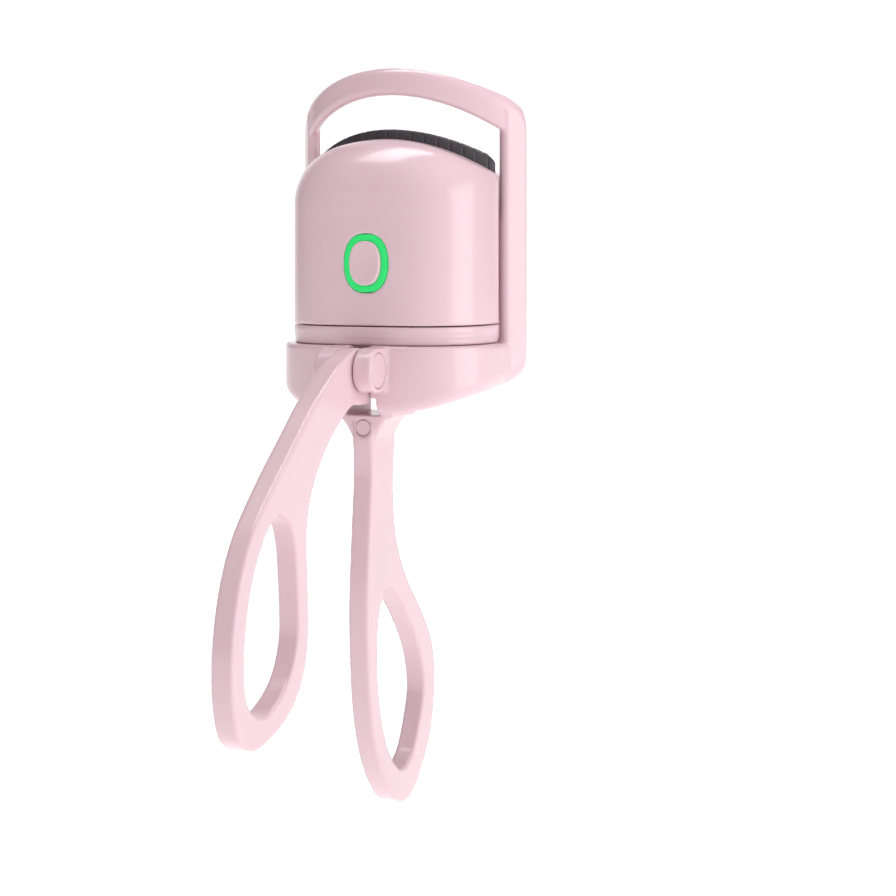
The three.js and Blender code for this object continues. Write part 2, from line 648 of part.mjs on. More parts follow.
// ---- Comb, spreader, heater and carrier, stacked under one another -------------------------
function archedStrip(inner, outer, halfAngle, top, height) {
  const band = archBand(17, top, COMB_ARCH, top - height, COMB_ARCH);
  return common(ringSector(inner, outer, halfAngle, 85, 110), band);
}

const spreaderTop = COMB_TOP - COMB_HEIGHT - 0.2;
const heaterTop = spreaderTop - SPREADER - 0.2;
const carrierTop = heaterTop - HEATER - 0.2;
addPiece('comb', archedStrip(combInner, COMB_R, combHalf, COMB_TOP, COMB_HEIGHT), finish(0x3a3138, 0.5));
const spreader = archedStrip(combInner + 0.3, COMB_R - 0.3, combHalf - 0.04, spreaderTop, SPREADER);
addPiece('heat_spreader', spreader, finish(0xc8cacc, 0.4, 1));
addPiece('heater_strip', archedStrip(combInner + 0.5, COMB_R - 0.5, combHalf - 0.1, heaterTop, HEATER),
  finish(0xe8e2d4, 0.7));
addPiece('comb_carrier', archedStrip(combInner, COMB_R, combHalf - 0.07, carrierTop, CARRIER),
  finish(0x2a2628, 0.6));
const bead = new THREE.SphereGeometry(0.5, 12, 8);
addPiece('thermistor', bead.translate(0, ringY - combInner + 0.9, heaterTop - 0.6), black());

// ---- Button, light ring and boards --------------------------------------------------------
const ringFront = -HEAD_DEPTH - 0.05;
addPiece('light_ring', cut(
  oval(RING_HALF_W, RING_HALF_H, ringFront, -16.9),
  oval(RING_HALF_W - RING_BAND, RING_HALF_H - RING_BAND, -25, -10),
), finish(0x30e080, 0.3));

const buttonInset = RING_BAND + 0.25;
addPiece('power_button', join(
  oval(RING_HALF_W - buttonInset, RING_HALF_H - buttonInset, ringFront - 0.4, -16.9),
  barAlongY(1.0, -17.5, -15.9, BUTTON_X, BUTTON_Z, 16),
), pink());

const boardBack = BOARD_Y + 0.8;
addPiece('main_board', block(-BOARD_HALF, BOARD_HALF, BOARD_Y, boardBack, 76, 94), board());
addPiece('power_switch', join(
  block(BUTTON_X - 1.8, BUTTON_X + 1.8, BOARD_Y - 1.7, BOARD_Y - 0.2, BUTTON_Z - 1.8, BUTTON_Z + 1.8),
  barAlongY(0.8, BOARD_Y - 2.05, BOARD_Y - 1.6, BUTTON_X, BUTTON_Z, 14),
), finish(0x8a8c90, 0.4, 1));
for (const [side, x] of [['left', BUTTON_X - 3.1], ['right', BUTTON_X + 3.1]]) {
  const led = block(x - 0.8, x + 0.8, BOARD_Y - 0.9, BOARD_Y - 0.2, BUTTON_Z - 0.5, BUTTON_Z + 0.5);
  addPiece(`ring_led_${side}`, led, finish(0xf2f2e6, 0.4));
}
addPiece('control_chip', block(-2, 2, BOARD_Y - 1.1, BOARD_Y - 0.2, 77.2, 80.2), black());

const [batteryWide, batteryDeep, batteryTall] = BATTERY;
const batteryFront = boardBack + 0.6;
const batteryBottom = 76.2;
const batteryBack = batteryFront + batteryDeep;
const battery = fromFront(roundedBox(batteryWide, batteryTall, 1.2), batteryFront, batteryBack)
  .translate(0, 0, batteryBottom + batteryTall / 2);
addPiece('battery', battery, finish(0xc9ced6, 0.45));
const pad = block(-7, 7, batteryBack + 0.2, batteryBack + 1.2, 83, 90);
addPiece('battery_pad', pad, finish(0x57545a, 0.95));

// ---- Charging socket on its own board at the back -----------------------------------------
const usbFront = REAR_BACK - USB_LENGTH;
const usbBoard = USB_Z - USB_HEIGHT / 2 - 0.2;
const chargeBoard = block(-8, 8, usbFront - 1.6, REAR_BACK - SHELL - 0.4, usbBoard - 0.8, usbBoard);
addPiece('charge_board', chargeBoard, board());
addPiece('usb_c_shell', cut(
  usbOpening(0, usbFront, REAR_BACK - 0.1),
  usbOpening(-0.3, usbFront + 0.5, 10),
), steel());
const tongue = block(-3.35, 3.35, usbFront + 0.7, REAR_BACK - 1.2, USB_Z - 0.35, USB_Z + 0.35);
addPiece('usb_c_tongue', tongue, black());
const chip = block(-6.6, -4.9, usbFront - 1.2, usbFront + 1.8, usbBoard + 0.2, usbBoard + 1);
addPiece('charge_chip', chip, black());

// ---- Leads --------------------------------------------------------------------------------
const leadTop = batteryBottom + batteryTall + 0.6;
for (const [pole, side, color] of [['plus', 1, 0xb3202a], ['minus', -1, 0x222226]]) {
  addPiece(`battery_lead_${pole}`, wire([
    [side * 3, batteryFront + 1.6, leadTop],
    [side * 3, batteryFront + 1.4, leadTop + 0.9],
    [side * 3.4, batteryFront + 0.4, leadTop + 1.4],
    [side * 3.8, boardBack + 0.55, leadTop + 0.7],
  ], LEAD_R, 12), finish(color, 0.5));
}
for (const [name, side] of [['heater_lead_left', -1], ['heater_lead_right', 1]]) {
  addPiece(name, wire([
    [side * 6.4, boardBack + 0.55, 91.9],
    [side * 6.4, boardBack + 1.2, 92.4],
    [side * 6.2, -8.2, 93.0],
    [side * 6.0, -7.6, 93.9],
  ], LEAD_R, 12), finish(0xf2f0ea, 0.5));
}

// ---- Origin at the middle of the fixed finger loop ------------------------------------------
part.position.set(0, -LOOP_CENTRE_Y, -LOOP_CENTRE_Z);

export default part;
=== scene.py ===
# Looks of the heated eyelash curler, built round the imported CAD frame.
# The pink mouldings are made as rounded implicit solids (signed distances joined with fillets) and
# meshed with surface nets, so every edge has its small moulding radius. Lengths in the shape
# functions are millimetres in the design's own axes; meshes are written in metres, in the CAD's.
import functools
import json
import math

import bpy
import numpy as np
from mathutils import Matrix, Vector


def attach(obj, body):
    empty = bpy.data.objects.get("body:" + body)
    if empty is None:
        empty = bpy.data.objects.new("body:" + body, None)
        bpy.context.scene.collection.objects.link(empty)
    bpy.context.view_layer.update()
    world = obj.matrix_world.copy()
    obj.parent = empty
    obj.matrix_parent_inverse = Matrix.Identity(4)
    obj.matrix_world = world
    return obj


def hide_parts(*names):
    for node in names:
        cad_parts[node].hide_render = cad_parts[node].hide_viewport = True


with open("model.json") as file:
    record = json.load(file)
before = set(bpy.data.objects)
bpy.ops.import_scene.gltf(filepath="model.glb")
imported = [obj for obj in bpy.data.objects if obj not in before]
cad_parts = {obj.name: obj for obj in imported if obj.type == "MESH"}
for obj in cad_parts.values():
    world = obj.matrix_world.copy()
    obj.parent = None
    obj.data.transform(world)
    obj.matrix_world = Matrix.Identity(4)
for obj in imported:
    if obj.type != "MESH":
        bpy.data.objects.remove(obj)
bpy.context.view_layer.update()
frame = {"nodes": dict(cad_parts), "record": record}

nodes = frame["nodes"]

# ---- Driving dimensions, as in the CAD except where a comment says so ------------------------
ORIGIN = np.array([0.0, -7.5, 18.5])        # the frame's origin in design axes
RING_R, RAIL_X, RAIL_HALF, RAIL_THICK = 21.2, 17.3, 2.35, 2.0
BAR_TOP, BAR_TOP_ARCH, BAR_UNDER, BAR_UNDER_ARCH = 114.0, 34.0, 109.75, 26.5
BASE_HALF, BASE_DEPTH, BASE_TOP, BASE_BACK, WALL, DECK = 17.25, 20.0, 71.5, 4.4, 3.0, 1.7
BASE_ROUND, RAIL_FOOT, FOOT_ROUND, RAIL_ROUND, BAR_CORNER = 2.4, 64.8, 5.5, 0.9, 3.4
RAIL_OUTER = 19.47                          # a hair inside the CAD's 19.5
HEAD_HALF, HEAD_DEPTH, HEAD_SPLIT, HEAD_TOP, CROWN_R = 16.1, 18.7, -3.0, 102.95, 26.0
SHOULDER_SIDE, SHOULDER_FRONT, REAR_TOP = (0.6, 0.8), (8.5, 8.5), 101.6
SHELL, SEAM, SHELF = 1.5, 74.5, 90.4
BAND_TOP, BAND_BOTTOM = 74.32, 71.58        # finer seams than the CAD's
REAR_HALF, REAR_BACK, FLANGE_HALF, FLANGE_FRONT = 14.5, 5.2, 17.4, 2.9
COMB_R, COMB_THICK, COMB_TOP, COMB_ARCH, COMB_HEIGHT = 21.8, 2.6, 104.5, 27.0, 4.4
COMB_HALF_ANGLE = math.radians(46)
BUTTON_X, BUTTON_Z, RING_HALF_W, RING_HALF_H, RING_BAND = 0.5, 83.9, 3.52, 4.37, 0.95
HANDLE_HALF, PIVOT_Y, PIVOT_Z, BOSS_R = 1.6, -22.9, 68.1, 3.3
CHEEK_IN = 1.7                              # a finer seam than the CAD's
CHEEK_OUT, PIN_R, CAP_R, CAP_THICK = 4.7, 1.3, 2.6, 0.7
ARM, ARM_HALF, LIFT_PIN_R, CLOSING = 12.9, 1.4, 0.8, math.radians(22.5)
EAR_IN, EAR_OUT, EAR_BOTTOM, PLUG_R, PLUG_Z = 1.9, 3.4, 63.6, 1.2, 59.1
WINDOW_HALF, WINDOW_Z, WEB_BACK = 2.75, 61.1, -9.0
WINDOW_TOP = 63.7                           # lower than the CAD's
SLOT_TOP, SLOT_BACK = 80.0, -5.0            # the linkage slot, open at the top
NECK_Z, NECK_HEIGHT = 54.2, 7.4             # where the neck starts to open, and over what height
COIL_R, COIL_POCKET_R, COIL_POCKET_X = 1.95, 2.4, 0.2
PLAN_POWER, OVAL_POWER, GAP, RUNNING = 3.07, 2.35, 0.3, 0.1
SCREW_X, SCREW_ZS, SCREW_R, SCREW_HEAD_R, POST_R = 12.0, (78.6, 88.0), 0.8, 1.5, 1.9
USB_WIDTH, USB_HEIGHT, USB_Z = 8.94, 3.16, 79.6

rail_angle = math.asin(RAIL_X / RING_R)
ring_y = RING_R * math.cos(rail_angle)
arm_drop = CLOSING / 2
lift_y = PIVOT_Y + ARM * math.cos(arm_drop)
lift_z = PIVOT_Z - ARM * math.sin(arm_drop)
TINY = 1e-6                                 # keeps powers away from zero
FAR = 40.0                                  # a distance well outside everything


# ---- Signed distances -----------------------------------------------------------------------
def round_max(a, b, r):
    """Where both hold, with the edge between them rounded to radius r."""
    return np.minimum(np.maximum(a, b), -r) + np.hypot(np.maximum(a + r, 0), np.maximum(b + r, 0))


def round_min(a, b, r):
    """Where either holds, with a fillet of radius r between them."""
    return -round_max(-a, -b, r)


def cut_out(solid, tool, r):
    return round_max(solid, -tool, r)


def all_of(*fields):
    """Where every one holds, with sharp edges."""
    return functools.reduce(np.maximum, fields)


def any_of(*fields):
    """Where any one holds, with sharp edges."""
    return functools.reduce(np.minimum, fields)


def between(value, low, high):
    return np.maximum(low - value, value - high)


def round_corner(u, v, r):
    """A corner of radius r about the point where u and v are zero."""
    return np.hypot(np.maximum(u, 0), np.maximum(v, 0)) + np.minimum(np.maximum(u, v), 0) - r


def superellipse(a, b, half_a, half_b, power):
    """About the distance to a squared ellipse, from the distances to its two axes."""
    u = a / half_a + TINY
    v = b / half_b + TINY
    r = (u ** power + v ** power) ** (1 / power)
    slope = np.hypot((u / r) ** (power - 1) / half_a, (v / r) ** (power - 1) / half_b)
    return (r - 1) / slope


def squared_ellipse(x, y, half, depth):
    """The plan of head and base: curved in front, straight-sided behind."""
    return superellipse(np.abs(x), np.maximum(-y, 0.0), half, depth, PLAN_POWER)


def oval(x, z, half_w, half_h):
    """The outline of the button and its light."""
    return superellipse(np.abs(x - BUTTON_X), np.abs(z - BUTTON_Z), half_w, half_h, OVAL_POWER)


def rounded_box(u, v, half_u, half_v, r):
    return round_corner(np.abs(u) - (half_u - r), np.abs(v) - (half_v - r), r)


def smooth_loop(points, per_span=6):
    """A closed centripetal Catmull-Rom curve through a few points."""
    p = np.array(points, float)
    out = []
    for i in range(len(p)):
        p0, p1, p2, p3 = p[i - 1], p[i], p[(i + 1) % len(p)], p[(i + 2) % len(p)]
        t1 = np.linalg.norm(p1 - p0) ** 0.5
        t2 = t1 + np.linalg.norm(p2 - p1) ** 0.5
        t3 = t2 + np.linalg.norm(p3 - p2) ** 0.5
        for t in np.linspace(t1, t2, per_span, endpoint=False):
            a1 = (t1 - t) / t1 * p0 + t / t1 * p1
            a2 = (t2 - t) / (t2 - t1) * p1 + (t - t1) / (t2 - t1) * p2
            a3 = (t3 - t) / (t3 - t2) * p2 + (t - t2) / (t3 - t2) * p3
            b1 = (t2 - t) / t2 * a1 + t / t2 * a2
            b2 = (t3 - t) / (t3 - t1) * a2 + (t - t1) / (t3 - t1) * a3
            out.append((t2 - t) / (t2 - t1) * b1 + (t - t1) / (t2 - t1) * b2)
    return np.array(out)


def polygon(u, v, points):
    """Signed distance to a closed outline, negative inside."""
    u, v = np.broadcast_arrays(u, v)
    best = np.full(u.shape, 1e9)
    inside = np.zeros(u.shape, bool)
    for (au, av), (bu, bv) in zip(points, np.roll(points, -1, axis=0)):
        eu, ev = bu - au, bv - av
        t = np.clip(((u - au) * eu + (v - av) * ev) / (eu * eu + ev * ev), 0, 1)
        best = np.minimum(best, (u - au - t * eu) ** 2 + (v - av - t * ev) ** 2)
        crosses = (av > v) != (bv > v)
        if abs(ev) > 1e-9:
            inside ^= crosses & (u < au + (v - av) * eu / ev)
    distance = np.sqrt(best)
    return np.where(inside, -distance, distance)


def dome(x, y, z, half, depth, back, top):
    """The head's body: squared plan, crowned top, shoulders wide in front and tight at the sides."""
    crown = CROWN_R - np.sqrt(np.maximum(CROWN_R ** 2 - x * x, 1))
    u = np.abs(x) / half + TINY
    v = np.maximum(-y, 0.0) / depth
    r = (u ** PLAN_POWER + v ** PLAN_POWER) ** (1 / PLAN_POWER)
    share = np.clip((v / r - 0.16) / 0.84, 0, 1)
    reach = SHOULDER_SIDE[0] + (SHOULDER_FRONT[0] - SHOULDER_SIDE[0]) * share ** 1.65
    drop = SHOULDER_SIDE[1] + (SHOULDER_FRONT[1] - SHOULDER_SIDE[1]) * share
    side = round_max(squared_ellipse(x, y, half, depth), y - back, 1.2)
    p = (side + reach) / reach
    q = (z + crown - top + drop) / drop
    return round_corner(p, q, 1) * (reach + drop) / 2


# ---- Meshing ---------------------------------------------------------------------------------
def gradient(field, p, step=0.01):
    """The field's slope at the points p, by central differences."""
    out = np.empty_like(p)
    for axis in range(3):
        d = np.zeros(3)
        d[axis] = step
        ahead, behind = p + d, p - d
        out[:, axis] = field(*ahead.T) - field(*behind.T)
    return out / (2 * step)


def contour(field, low, high, step):
    """Vertices and quads of the zero surface of field, by surface nets and a pull to the surface."""
    axes = [np.arange(a - 2 * step, b + 2 * step, step) for a, b in zip(low, high)]
    nx, ny, nz = map(len, axes)
    grid = np.broadcast_to(
        field(axes[0][:, None, None], axes[1][None, :, None], axes[2][None, None, :]), (nx, ny, nz))
    grid = np.ascontiguousarray(grid, dtype=np.float32)
    inside = grid < 0
    corner_sum = np.zeros((nx - 1, ny - 1, nz - 1), np.int8)
    for dx in (0, 1):
        for dy in (0, 1):
            for dz in (0, 1):
                corner_sum += inside[dx:nx - 1 + dx, dy:ny - 1 + dy, dz:nz - 1 + dz]
    cells = np.argwhere((corner_sum > 0) & (corner_sum < 8))
    index = np.full(corner_sum.shape, -1, np.int64)
    index[tuple(cells.T)] = np.arange(len(cells))
    total = np.zeros((len(cells), 3))
    count = np.zeros(len(cells))
    for axis in range(3):
        others = [a for a in range(3) if a != axis]
        for da in (0, 1):
            for db in (0, 1):
                start = cells.copy()
                start[:, others[0]] += da
                start[:, others[1]] += db
                end = start.copy()
                end[:, axis] += 1
                f0, f1 = grid[tuple(start.T)], grid[tuple(end.T)]
                hit = (f0 < 0) != (f1 < 0)
                t = np.where(hit, f0 / np.where(hit, f0 - f1, 1), 0)
                point = start.astype(float)
                point[:, axis] += t
                total[hit] += point[hit]
                count[hit] += 1
    verts = total / count[:, None] * step + np.array([a[0] for a in axes])
    quads = []
    for axis in range(3):
        b, c = (axis + 1) % 3, (axis + 2) % 3
        flips = np.diff(inside, axis=axis)
        edges = np.argwhere(flips)
        edges = edges[(edges[:, b] > 0) & (edges[:, c] > 0)]
        around = []
        for db, dc in ((1, 1), (0, 1), (0, 0), (1, 0)):
            cell = edges.copy()
            cell[:, b] -= db
            cell[:, c] -= dc
            around.append(index[tuple(cell.T)])
        quad = np.stack(around, axis=1)
        outward = inside[tuple(edges.T)]
        quad[~outward] = quad[~outward][:, ::-1]
        quads.append(quad)
    for _ in range(3):
        slope = gradient(field, verts)
        value = field(*verts.T)
        move = -slope * (value / np.maximum((slope ** 2).sum(1), 0.05))[:, None]
        length = np.linalg.norm(move, axis=1, keepdims=True)
        verts += move * np.minimum(1, 0.4 * step / np.maximum(length, 1e-9))
    return verts, np.concatenate(quads)


def add_mesh(name, verts_mm, faces, material, body, replaced=()):
    """A new piece from design millimetres, smooth shaded, riding on its body."""
    mesh = bpy.data.meshes.new(name)
    mesh.from_pydata(((np.asarray(verts_mm) - ORIGIN) * 0.001).tolist(), [], [list(f) for f in faces])
    mesh.update()
    mesh.shade_smooth()
    piece = bpy.data.objects.new(name, mesh)
    bpy.context.scene.collection.objects.link(piece)
    mesh.materials.append(material)
    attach(piece, body)
    if replaced:
        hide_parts(*replaced)
    return piece


def moulded(name, field, low, high, step, material, body, slot, *replaced):
    verts, quads = contour(field, low, high, step)
    return add_mesh(name, verts, quads.tolist(), material, body, replaced)


# ---- Materials -------------------------------------------------------------------------------
def new_material(name, color, roughness, metallic=0.0, **sockets):
    material = bpy.data.materials.new(name)
    material.use_nodes = True
    shader = material.node_tree.nodes["Principled BSDF"]
    shader.inputs["Base Color"].default_value = (*color, 1)
    shader.inputs["Roughness"].default_value = roughness
    shader.inputs["Metallic"].default_value = metallic
    for socket, value in sockets.items():
        shader.inputs[socket.replace("_", " ")].default_value = value
    return material


def mottle(material, color_a, color_b, scale, rough=(0.2, 0.3), bump=0.0, bump_scale=900.0):
    """Slow colour drift, roughness drift and a fine bump, all in object space."""
    tree = material.node_tree
    shader = tree.nodes["Principled BSDF"]
    place = tree.nodes.new("ShaderNodeTexCoord")
    noise = tree.nodes.new("ShaderNodeTexNoise")
    noise.inputs["Scale"].default_value = scale
    noise.inputs["Detail"].default_value = 3
    tree.links.new(place.outputs["Object"], noise.inputs["Vector"])
    ramp = tree.nodes.new("ShaderNodeValToRGB")
    ramp.color_ramp.elements[0].position = 0.3
    ramp.color_ramp.elements[0].color = (*color_a, 1)
    ramp.color_ramp.elements[1].position = 0.7
    ramp.color_ramp.elements[1].color = (*color_b, 1)
    tree.links.new(noise.outputs["Fac"], ramp.inputs["Fac"])
    tree.links.new(ramp.outputs["Color"], shader.inputs["Base Color"])
    spread = tree.nodes.new("ShaderNodeMapRange")
    spread.inputs["To Min"].default_value = rough[0]
    spread.inputs["To Max"].default_value = rough[1]
    tree.links.new(noise.outputs["Fac"], spread.inputs["Value"])
    tree.links.new(spread.outputs["Result"], shader.inputs["Roughness"])
    if bump:
        grain = tree.nodes.new("ShaderNodeTexNoise")
        grain.inputs["Scale"].default_value = bump_scale
        grain.inputs["Detail"].default_value = 2
        tree.links.new(place.outputs["Object"], grain.inputs["Vector"])
        relief = tree.nodes.new("ShaderNodeBump")
        relief.inputs["Strength"].default_value = bump
        relief.inputs["Distance"].default_value = 0.0001
        tree.links.new(grain.outputs["Fac"], relief.inputs["Height"])
        tree.links.new(relief.outputs["Normal"], shader.inputs["Normal"])
    return material


PINK_A, PINK_B = (0.745, 0.527, 0.586), (0.775, 0.55, 0.61)
pink = mottle(
    new_material("pink_plastic", PINK_A, 0.24, Coat_Weight=0.35, Coat_Roughness=0.08,
                 Subsurface_Weight=0.12, Subsurface_Scale=0.002),
    PINK_A, PINK_B, 60, (0.22, 0.28), 0.04, 700)
comb_black = mottle(
    new_material("comb_plastic", (0.035, 0.027, 0.033), 0.45),
    (0.035, 0.026, 0.032), (0.055, 0.045, 0.052), 300, (0.38, 0.5), 0.2, 1500)
light_green = new_material("light_guide", (0.02, 0.42, 0.10), 0.3, Emission_Strength=0.62)
light_green.node_tree.nodes["Principled BSDF"].inputs["Emission Color"].default_value = (0.0, 0.62, 0.13, 1)
steel = mottle(new_material("pin_steel", (0.6, 0.6, 0.62), 0.3, 1.0),
               (0.56, 0.56, 0.58), (0.68, 0.68, 0.7), 400, (0.22, 0.38), 0.15, 2500)
foil = mottle(new_material("pouch_foil", (0.6, 0.62, 0.66), 0.4, 0.9),
              (0.55, 0.57, 0.6), (0.68, 0.7, 0.74), 500, (0.3, 0.45), 0.3, 900)
aluminium = mottle(new_material("spreader_aluminium", (0.6, 0.6, 0.6), 0.4, 1.0),
                   (0.56, 0.56, 0.57), (0.64, 0.64, 0.65), 500, (0.32, 0.45), 0.1, 1800)
ceramic = mottle(new_material("heater_ceramic", (0.8, 0.76, 0.68), 0.75),
                 (0.76, 0.72, 0.63), (0.82, 0.79, 0.72), 700, (0.7, 0.85), 0.2, 2500)
solder_mask = mottle(new_material("solder_mask", (0.02, 0.12, 0.05), 0.35),
                     (0.015, 0.10, 0.04), (0.03, 0.15, 0.07), 900, (0.28, 0.42), 0.25, 1200)
satin_black = mottle(new_material("satin_black", (0.02, 0.02, 0.022), 0.5),
                     (0.018, 0.018, 0.02), (0.03, 0.03, 0.033), 800, (0.42, 0.58), 0.15, 2500)
foam = mottle(new_material("foam_grey", (0.1, 0.1, 0.105), 0.95),
              (0.07, 0.07, 0.075), (0.13, 0.13, 0.135), 1500, (0.9, 1.0), 0.8, 1800)
clear_epoxy = mottle(new_material("led_epoxy", (0.85, 0.85, 0.75), 0.15),
                     (0.82, 0.82, 0.7), (0.9, 0.9, 0.82), 900, (0.1, 0.2), 0.05, 1500)


def lead_insulation(name, color):
    darker = tuple(c * 0.9 for c in color)
    return mottle(new_material(name, color, 0.45), darker, color, 900, (0.38, 0.5), 0.1, 2500)


slot_materials = {
    "pink_gloss": pink, "comb_dark": comb_black, "light_green": light_green, "steel": steel,
    "aluminium": aluminium, "ceramic": ceramic, "carrier_black": satin_black, "circuit_board": solder_mask,
    "black_parts": satin_black, "led_white": clear_epoxy, "battery_foil": foil, "foam": foam,
    "lead_red": lead_insulation("lead_red", (0.42, 0.015, 0.02)),
    "lead_black": lead_insulation("lead_black", (0.015, 0.015, 0.018)),
    "lead_white": lead_insulation("lead_white", (0.8, 0.79, 0.75)),
}
for entry in frame["record"]["subparts"]:
    carried = nodes[entry["node"]].data
    carried.materials.clear()
    carried.materials.append(slot_materials[entry["material_slot"]])


# ---- Frame moulding ---------------------------------------------------------------------------
FIXED_OUTLINE = smooth_loop([
    (-18.4, 60), (-18.5, 52), (-19.4, 43), (-20.2, 33), (-20.0, 25.5), (-18.9, 16.5), (-16.6, 9.6),
    (-13, 4.2), (-9.2, 1), (-5.5, 0), (-2.3, 1.1), (1.3, 4.2), (4.6, 9), (6.2, 15.8), (5.4, 22),
    (2.3, 26.8), (-1.9, 31.3), (-6.4, 36.2), (-9.5, 42), (-10.6, 49), (-10.6, 60), (-14.5, 62),
])
FIXED_HOLE = smooth_loop([
    (-12.6, 34.4), (-15.4, 31.7), (-16.6, 26), (-16.1, 19), (-14.4, 13.2), (-11.6, 8.4),
    (-7, 5.2), (-2.7, 6.8), (0.3, 11.4), (1.8, 16.2), (0.4, 21.6), (-3.4, 27), (-8, 31.6),
])
SKIRT_SIDE = smooth_loop([
    (-26, 61), (-24, 57.6), (-21.5, 57.8), (-20, 59.8), (-19, 60.8), (-18, 61.5), (-16.6, 62.2),
    (-14.5, 62.95), (-11.7, 63.6), (-5.8, 64.3), (-1.3, 64.8), (4.0, 65.4), (BASE_BACK, 66.2),
    (BASE_BACK, 71), (BASE_BACK, 76), (BASE_BACK, 90), (-10, 92), (-26, 90), (-27, 75),
])


def handle_plate(x, y, z, outline, hole):
    flat = np.maximum(polygon(y, z, outline), -polygon(y, z, hole))
    return round_max(flat, np.abs(x) - HANDLE_HALF, 0.3)


def hoop_field(x, y, z):
    """The pressing bar and the two rails."""
    ax = np.abs(x)
    radial = np.hypot(x, y - ring_y) - RING_R
    top = np.hypot(x, z - (BAR_TOP - BAR_TOP_ARCH)) - BAR_TOP_ARCH
    under = BAR_UNDER_ARCH - np.hypot(x, z - (BAR_UNDER - BAR_UNDER_ARCH))
    under = np.where(z < BAR_UNDER - BAR_UNDER_ARCH, FAR, under)
    strip = np.maximum(np.abs(radial) - RAIL_THICK / 2, ax - RAIL_X)
    bar = round_max(strip, under, 0.95) + np.where(y > ring_y, FAR, 0.0)
    # the rails stand square to the bar's curve
    along = (ax - RAIL_X) * math.cos(rail_angle) + y * math.sin(rail_angle)
    through = (ax - RAIL_X) * math.sin(rail_angle) - y * math.cos(rail_angle)
    rail = rounded_box(along, through, RAIL_HALF, RAIL_THICK / 2, RAIL_ROUND)
    rail = np.maximum(rail, RAIL_FOOT - z)
    # the bar's upper half thins towards its top edge
    lift = np.clip((top - under) / np.maximum(-top - under, 1.0), 0, 1)
    thinned = np.abs(radial) - RAIL_THICK / 2 - 0.15 + 0.65 * lift ** 2
    # outer edge, with rounded corners above and rounded feet below
    outer = round_max(ax - RAIL_OUTER, top, BAR_CORNER)
    foot = round_corner(ax - RAIL_OUTER + FOOT_ROUND, RAIL_FOOT + FOOT_ROUND - z, FOOT_ROUND)
    outer = np.maximum(outer, foot)
    return round_max(np.maximum(round_min(bar, rail, 0.25), thinned), outer, 0.8)


def skirt_field(x, y, z):
    """The base: a deck and a skirt, open below."""
    body = round_max(squared_ellipse(x, y, BASE_HALF, BASE_DEPTH), z - BASE_TOP, 0.45)
    body = round_max(body, polygon(y, z, SKIRT_SIDE), BASE_ROUND)
    hollow = squared_ellipse(x, y, BASE_HALF - WALL, BASE_DEPTH - WALL)
    return cut_out(body, np.maximum(hollow, z - (BASE_TOP - DECK)), 0.35)


def cheek_field(x, y, z):
    """The two bosses, with the webs that run back from them under the deck."""
    boss = np.hypot(y - PIVOT_Y, z - PIVOT_Z) - BOSS_R
    link = np.maximum(np.abs(z - PIVOT_Z) - BOSS_R, between(y, PIVOT_Y, -18.0))
    web = np.maximum(between(y, -18.2, -6.6), between(z, 60.6, 71.0))
    web_end = np.where(z < 63.4, y - WEB_BACK, (y - WEB_BACK) * 0.735 - (z - 63.4) * 0.678)
    side = any_of(boss, link, np.maximum(web, web_end))
    return np.maximum(round_max(side, np.abs(x) - CHEEK_OUT, 0.45), z - 71.4)


def neck_field(x, y, z):
    """The neck, which opens out like a trumpet from the handle to the cheeks."""
    rise = np.clip((z - NECK_Z) / NECK_HEIGHT, 0, 1)
    half = HANDLE_HALF - 0.35 + 3.45 * rise ** 2.05
    lean = np.hypot(1, 3.45 * 2.05 * rise ** 1.05 / NECK_HEIGHT)
    inset = 0.35 * (1 - rise)
    flare = round_max((np.abs(x) - half) / lean, between(y, -18.5 + inset, -10.6 - inset), 0.6)
    return np.maximum(flare, between(z, 53.5, 61.8))


def frame_field(x, y, z):
    ax = np.abs(x)
    solid = round_min(skirt_field(x, y, z), hoop_field(x, y, z), 0.8)
    solid = round_min(solid, cheek_field(x, y, z), 0.35)
    solid = round_min(solid, neck_field(x, y, z), 0.4)
    solid = round_min(solid, handle_plate(x, y, z, FIXED_OUTLINE, FIXED_HOLE), 0.3)
    # slot for the knuckle and the arm, the window under the bosses, room for the lift ears
    slot = all_of(ax - CHEEK_IN, between(z, WINDOW_Z, SLOT_TOP), y - SLOT_BACK)
    solid = cut_out(solid, slot, 0.22)
    window = all_of(ax - WINDOW_HALF, between(z, WINDOW_Z, WINDOW_TOP), y - SLOT_BACK)
    solid = cut_out(solid, window, 0.25)
    room = all_of(ax - EAR_OUT - 0.5, between(y, lift_y - 2.6, SLOT_BACK), EAR_BOTTOM - 0.4 - z)
    solid = cut_out(solid, np.maximum(room, z - SLOT_TOP), 0.2)
    # bore of the pin, recesses of its caps and of the plug
    axle = np.hypot(y - PIVOT_Y, z - PIVOT_Z)
    solid = cut_out(solid, np.maximum(axle - PIN_R - RUNNING, ax - 8), 0.12)
    solid = cut_out(solid, np.maximum(axle - CAP_R - 0.07, CHEEK_OUT - CAP_THICK - 0.1 - ax), 0.14)
    plug = np.maximum(np.hypot(x, z - PLUG_Z) - PLUG_R - 0.03, y + 17.1)
    return cut_out(solid, plug, 0.08)


moulded("frame_moulding", frame_field, (-19.6, -26.4, 0), (19.6, 6.4, 114.1), 0.36, pink, "frame",
        "pink_gloss", "frame")


